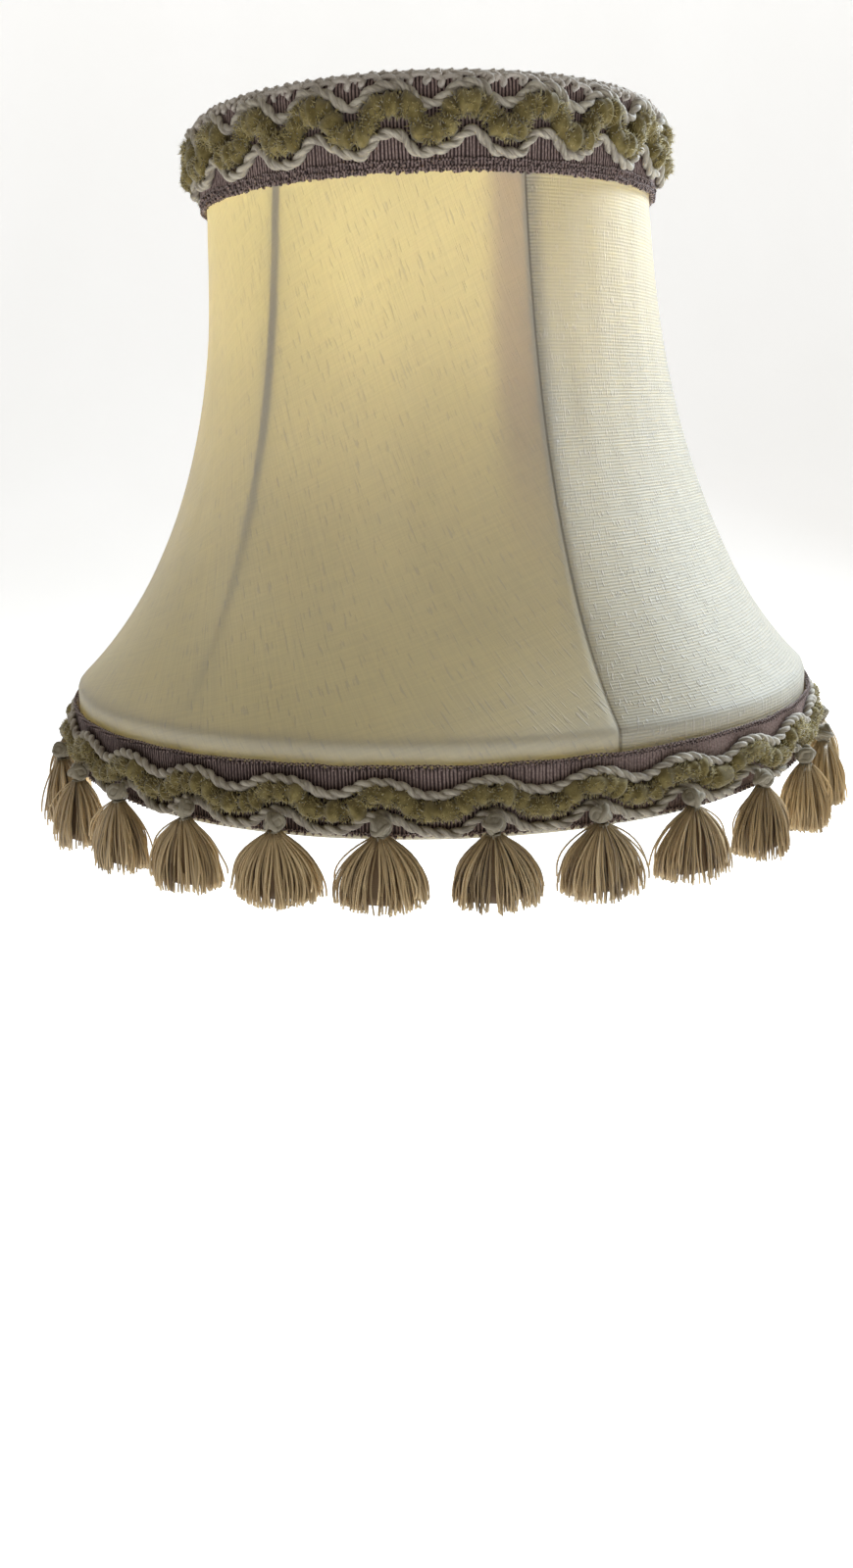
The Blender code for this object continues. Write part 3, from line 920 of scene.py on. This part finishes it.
class SHADE_OT_chenille(bpy.types.Operator):
    """Lay the chenille strands between the cords, stepping up over each crest"""

    bl_idname = "shade.chenille"
    bl_label = "Chenille"

    def execute(self, context):
        sizes = context.scene.shade_sizes
        finish = chenille_pile("olive_chenille")
        # Share of the thickness, waves, high and low level in mm from the CAD ring, and a seed.
        strands = (
            ("top_chenille", 1.3, sizes.top_waves, 2.6, -4.4, 41),
            ("bottom_chenille", 1.2, len(frame["joints"]), 2.4, -1.9, 42),
        )
        for node, share, waves, high, low, seed in strands:
            half = 0.5 * share * sizes.chenille
            radius, height = ring_middle(node)
            turn = turns(40 * waves)
            phase = waves * (turn + TURN / 4) + wander(turn, seed, 0.3, 3, 40)
            step = np.tanh(2.0 * np.cos(phase)) / math.tanh(2.0)
            size = 1 + wander(turn, seed + 1, 0.12, 3, 50)
            rise = np.where(step > 0, high, -low) * step * size * MM
            tuck = (0.6 + 0.5 * np.sin(phase) ** 2) * MM
            path = around(radius - tuck, turn + 0.1 * np.sin(2 * phase) / waves, height + rise)
            core = 0.72 * half * (1 + wander(turn, seed + 2, 0.22, 20, 300))
            aside = outwards(turn)[None]
            rope, faces, pattern = tube_parts(path[None], core[None], 12, aside, closed=True)
            # The core gets the pile's painted root shade.
            for part in pattern:
                part[..., 1] = 0.15
            fuzz = pile(path, turn, 0.70 * half, 1.12 * half, 22000, seed)
            mesh = make_mesh(node + "_pile", *join_parts((rope, faces, pattern), fuzz))
            add_piece(mesh, finish, "shade", "chenille", node)
        return {"FINISHED"}


def skirt_spread(share):
    """How far out a thread is at a share of its way down: fast at first, then almost upright."""
    return 1 - (1 - share) ** 2.7


def skirt_threads(seed):
    """One tassel's threads, as paths from its knot: each leaves the neck, spreads to its own place
    on the skirt's oval hem, gathers with others into locks, and waves a little."""
    sizes = bpy.context.scene.shade_sizes
    draw = np.random.default_rng(seed)
    # Threads are about twice as thick as real ones, so there are fewer of them.
    count = sizes.skirt_threads
    locks = 17
    lock = draw.integers(0, locks, count)
    lock_turn = TURN * (np.arange(locks) + draw.uniform(-0.3, 0.3, locks)) / locks
    lock_reach = draw.uniform(0.86, 1.0, locks)
    lock_sway = draw.normal(0, 0.6 * MM, (locks, 2))
    turn = lock_turn[lock] + draw.normal(0, 0.15, count)
    turn = turn + 0.18 * np.sin(2 * turn)
    reach = lock_reach[lock] * np.sqrt(draw.uniform(0.4, 1.0, count))
    stray = draw.uniform(0, 1, count) > 0.96
    reach = np.where(stray, 1.08 * reach + 0.1, reach)
    hem = np.stack([0.5 * sizes.skirt_depth * reach * np.cos(turn),
                    0.5 * sizes.skirt_width * reach * np.sin(turn)], -1)
    hem += lock_sway[lock]
    neck = 1.7 * MM * np.stack([np.cos(turn), np.sin(turn)], -1) * draw.uniform(0.5, 1, (count, 1))
    share = np.linspace(0, 1, 11)
    spread = skirt_spread(share)[None, :, None]
    level = neck[:, None] + (hem - neck)[:, None] * spread
    sway = draw.uniform(0, TURN, (count, 2, 1)) + share * draw.uniform(3, 7, (count, 1, 1))
    level = level + 0.55 * MM * np.swapaxes(np.sin(sway), 1, 2) * share[None, :, None]
    long = sizes.skirt_length * (1 - 0.13 * (reach * np.sin(turn)) ** 2)
    long = long * draw.uniform(0.93, 1.0, count) * np.where(stray, 0.85, 1.0)
    height = -NECK_DROP - (long - 0.4 * MM)[:, None] * (share + 0.02 * np.sin(math.pi * share))
    level[..., 0] = np.maximum(level[..., 0], -0.5 * sizes.skirt_depth + 0.6 * MM)
    level[..., 0] += SKIRT_LEAN * share
    paths = np.concatenate([level, height[..., None]], -1)
    # Each thread's tone, with painted shade: threads that end nearer the middle of the skirt are
    # darker.
    shade = np.clip(0.35 + 0.65 * (reach - 0.6) / 0.4 + draw.normal(0, 0.26, count), 0.0, 1)
    return paths, shade


def skirt_heart(seed):
    """The threads packed in the middle of a skirt, as one grooved, closed bell inside the rest,
    painted in the skirt's darkest shade.
    """
    sizes = bpy.context.scene.shade_sizes
    draw = np.random.default_rng(seed + 500)
    share = np.linspace(0.0, 0.84, 9)
    turn = turns(HEART_SIDES)
    groove = 1 + 0.07 * draw.normal(0, 1, HEART_SIDES)
    size = 0.52 * skirt_spread(share)
    size = np.concatenate([size, size[-1] * np.array([0.55, 0.1])])[:, None]
    down = np.concatenate([share, share[-1] - [0.05, 0.10]])[:, None]
    across = 1.5 * MM + (0.5 * sizes.skirt_width - 1.5 * MM) * size * groove
    deep = 1.5 * MM + (0.5 * sizes.skirt_depth - 1.5 * MM) * size * groove
    points = np.stack(np.broadcast_arrays(
        deep * np.cos(turn) + SKIRT_LEAN * down, across * np.sin(turn),
        -NECK_DROP - sizes.skirt_length * down,
    ), -1)
    faces = grid_faces(len(size), HEART_SIDES, closed_columns=True, flip=True)[0]
    ring = np.arange(HEART_SIDES)
    ends = np.stack([ring, (ring + (len(size) - 1) * HEART_SIDES)[::-1]])
    parts = [faces, ends]
    return points.reshape(-1, 3), parts, [np.full((*part.shape, 2), 0.05) for part in parts]


def knot_parts(seed):
    """A tied knot: one thick cord that runs twice round a ball while it swings three times up and
    down, so that it crosses over itself, tilted its own way over a round heart, with a binding
    of finer thread in a screw round the neck."""
    draw = np.random.default_rng(seed + 900)
    share = np.arange(72) / 72
    turn = 2 * TURN * share + draw.uniform(0, TURN)
    polar = math.radians(90) + draw.uniform(0.70, 0.85) * np.sin(3 * TURN * share)
    ball = 2.25 * MM * (1 + 0.12 * np.cos(3 * TURN * share + draw.uniform(0, TURN)))
    strand = around(ball * np.sin(polar), turn, 1.05 * ball * np.cos(polar))
    tilt = Matrix.Rotation(draw.uniform(-0.8, 0.8), 3, "X")
    tilt = tilt @ Matrix.Rotation(draw.uniform(-0.8, 0.8), 3, "Y")
    strand = strand @ np.array(tilt).T
    tied = tube_parts(strand[None], 0.84 * MM, 8, unit(strand)[None], closed=True)
    along = np.linspace(-0.97, 0.97, 9)
    axis = around(0.0, 0.0, KNOT * along)
    heart = tube_parts(
        axis[None], (KNOT * np.sqrt(1 - along ** 2))[None], 14, np.array([1.0, 0, 0])
    )
    rise = np.linspace(0, 1, 60)
    binding = around(1.75 * MM, 4 * TURN * rise, -KNOT - 1.2 * MM * rise)
    bound = tube_parts(binding[None], 0.25 * MM, 5, np.array([0, 0, 1.0]))
    return join_parts(tied, heart, bound)


def into_place(points, joint):
    """Points about a knot, +X pointing away from the shade, moved to a joint's place and turned
    so that their Y runs along the joint's axis, backwards."""
    up = np.array([0, 0, 1.0])
    along = -np.array(joint["axis"])
    return np.array(joint["pos_m"]) + points @ np.stack([np.cross(along, up), along, up])


class SHADE_OT_tassels(bpy.types.Operator):
    """Tie a knot and a skirt of loose threads to every joint of the hem"""

    bl_idname = "shade.tassels"
    bl_label = "Tassels"

    def execute(self, context):
        sizes = context.scene.shade_sizes
        colours = context.scene.shade_colours
        rayon = tassel_rayon("gold_rayon_thread")
        wound = thread_finish(
            "grey_cotton_knot", [0.72 * c for c in colours.knot], colours.knot,
            1.5 * MM, 0.12, 0.05 * MM, 0.75, 0.35,
        )
        for number, joint in enumerate(frame["joints"]):
            body = joint["child"]
            seed = TASSEL_SEED + number
            paths, shade = skirt_threads(seed)
            threads = tube_parts(paths, sizes.thread / 2, 3, np.array([0, 1.0, 0]), shade=shade)
            pieces = (
                ("_skirt", rayon, join_parts(threads, skirt_heart(seed))),
                ("_knot", wound, knot_parts(seed)),
            )
            for ending, finish, (points, faces, pattern) in pieces:
                mesh = make_mesh(body + ending, into_place(points, joint), faces, pattern)
                add_piece(mesh, finish, body, "tassel_thread", body)
        return {"FINISHED"}


class SHADE_OT_metalwork(bpy.types.Operator):
    """Coat the wires and the fitter of the frame"""

    bl_idname = "shade.metalwork"
    bl_label = "Coated Metalwork"

    def execute(self, context):
        colours = context.scene.shade_colours
        finishes = {
            "frame_wire": coated_wire("white_coated_wire", colours.wire, 0.38),
            "fitter_metal": coated_wire("white_enamelled_steel", colours.wire, 0.30),
        }
        for name, node in frame["nodes"].items():
            if name.startswith("fitter"):
                slot = "fitter_metal"
            elif name.endswith("_ring") or name.startswith("rib_"):
                slot = "frame_wire"
            else:
                continue
            node.data.materials.clear()
            node.data.materials.append(finishes[slot])
        return {"FINISHED"}


# Stage


def add_light(name, kind, place, aim, size, watts, colour):
    """A soft light that isn't seen itself: a square one turned to its aim, or a round one."""
    light = bpy.data.lights.new(name, kind)
    setattr(light, "size" if kind == "AREA" else "shadow_soft_size", size)
    light.energy = watts
    light.color = colour
    lamp = into_scene(light)
    lamp.location = place
    lamp.rotation_euler = (Vector(aim) - Vector(place)).to_track_quat("-Z", "Y").to_euler()
    lamp.visible_camera = False


def sweep(height):
    """A pale floor that curves up into a wall behind: an outline of a flat run, a quarter circle
    and an upright run, carried straight across."""
    flat = np.array([[-3.0, 0.0], [1.2, 0.0]])
    angle = np.radians(np.linspace(0, 90, 24))
    bend = np.stack([1.2 + 1.2 * np.sin(angle), 1.2 - 1.2 * np.cos(angle)], 1)
    line = np.concatenate([flat, bend[1:], [[2.4, 4.0]]])
    side = np.linspace(-4, 4, 9)
    y, x = np.meshgrid(line[:, 0], side, indexing="ij")
    z = np.repeat(line[:, 1:] + height, len(side), 1)
    points = np.stack([x, y, z], -1)
    return make_grid("floor_sweep", points, np.append(side, 4), np.append(line[:, 0], 3))


def aim_camera():
    """The camera: a short way in front and a little to the left, turned towards +X by its
    azimuth, tipped down and rolled."""
    azimuth, pitch, roll = (math.radians(angle) for angle in (8.0, 16.3, 1.74))
    data = bpy.data.cameras.new("camera")
    data.sensor_width = 36
    data.lens = 29.25
    camera = into_scene(data)
    stand = Matrix.Rotation(azimuth, 4, "Z") @ Matrix.Translation((-0.006, -0.44875, -0.06575))
    tip = Matrix.Rotation(math.radians(90) - pitch, 4, "X")
    camera.matrix_world = stand @ tip @ Matrix.Rotation(-roll, 4, "Z")
    bpy.context.scene.camera = camera


class SHADE_OT_stage(bpy.types.Operator):
    """Set up the camera, the pale floor and the soft lights"""

    bl_idname = "shade.stage"
    bl_label = "Stage"

    def execute(self, context):
        scene = context.scene
        scene.view_settings.view_transform = "Standard"
        aim_camera()
        material, node = new_material("pale_floor_paper")
        paper = streaks(node, node("TexCoord", output="UV"), 0.3, 0.3)
        paper = node("MapRange", (paper, 0.3, 0.7), **SMOOTH)
        colour = laid_over(node, linear("#F1F0ED"), ("MIX", paper, linear("#F5F4F2")))
        matt = node("BsdfPrincipled", {
            "Base Color": colour, "Roughness": 0.9, "Emission Color": (1, 1, 1),
            "Emission Strength": 0.60,
        })
        node("OutputMaterial", (matt,))
        floor = into_scene(sweep(FLOOR_HEIGHT))
        floor.data.materials.append(material)
        world = bpy.data.worlds.new("room")
        scene.world = world
        world.use_nodes = True
        world.node_tree.nodes.clear()
        node = partial(add_node, world.node_tree)
        # The room gives a dim, warm light, and is pale where it shows past the floor.
        room = node("Background", ((1.0, 0.90, 0.72), 0.11))
        pale = node("Background", ((1.0, 0.99, 0.97), 0.85))
        shown = node("MixShader", (node("LightPath", output="Is Camera Ray"), room, pale))
        node("OutputWorld", (shown,))
        middle = (0, 0, -0.1)
        lights = (
            ("window", "AREA", (0.78, 0.68, 0.50), (0, 0, -0.08), 0.5, 19, (0.80, 0.91, 1.0)),
            ("far_window", "AREA", (-0.35, 0.90, 0.75), (0, 0, -0.02), 0.5, 3.5, (0.97, 0.98, 1.0)),
            ("ceiling", "AREA", (0.0, -0.15, 1.1), middle, 0.8, 1.5, (1.0, 0.95, 0.84)),
            ("inner_light", "POINT", (0.004, 0.014, 0.0), middle, 0.022, 0.85, (1.0, 0.96, 0.85)),
        )
        for light in lights:
            add_light(*light)
        return {"FINISHED"}


OPERATORS = (
    SHADE_OT_stage,
    SHADE_OT_metalwork,
    SHADE_OT_lining,
    SHADE_OT_cover,
    SHADE_OT_braid,
    SHADE_OT_cords,
    SHADE_OT_chenille,
    SHADE_OT_tassels,
)


class SHADE_PT_panel(bpy.types.Panel):
    """Sizes, colours and steps of the lamp shade"""

    bl_idname = "SHADE_PT_panel"
    bl_label = "Lamp Shade"
    bl_space_type = "VIEW_3D"
    bl_region_type = "UI"
    bl_category = "Lamp Shade"

    def draw(self, context):
        for group in (context.scene.shade_sizes, context.scene.shade_colours):
            box = self.layout.box()
            for name in group.__annotations__:
                box.prop(group, name)
        for operator in OPERATORS:
            self.layout.operator(operator.bl_idname)


CLASSES = (ShadeSizes, ShadeColours, *OPERATORS, SHADE_PT_panel)


def register():
    for kind in CLASSES:
        bpy.utils.register_class(kind)
    bpy.types.Scene.shade_sizes = PointerProperty(type=ShadeSizes)
    bpy.types.Scene.shade_colours = PointerProperty(type=ShadeColours)


def unregister():
    del bpy.types.Scene.shade_colours
    del bpy.types.Scene.shade_sizes
    for kind in reversed(CLASSES):
        bpy.utils.unregister_class(kind)


def main():
    """Registers the add-on and makes every piece in order."""
    register()
    for operator in OPERATORS:
        group, name = operator.bl_idname.split(".")
        getattr(getattr(bpy.ops, group), name)()


if __name__ == "__main__":
    main()
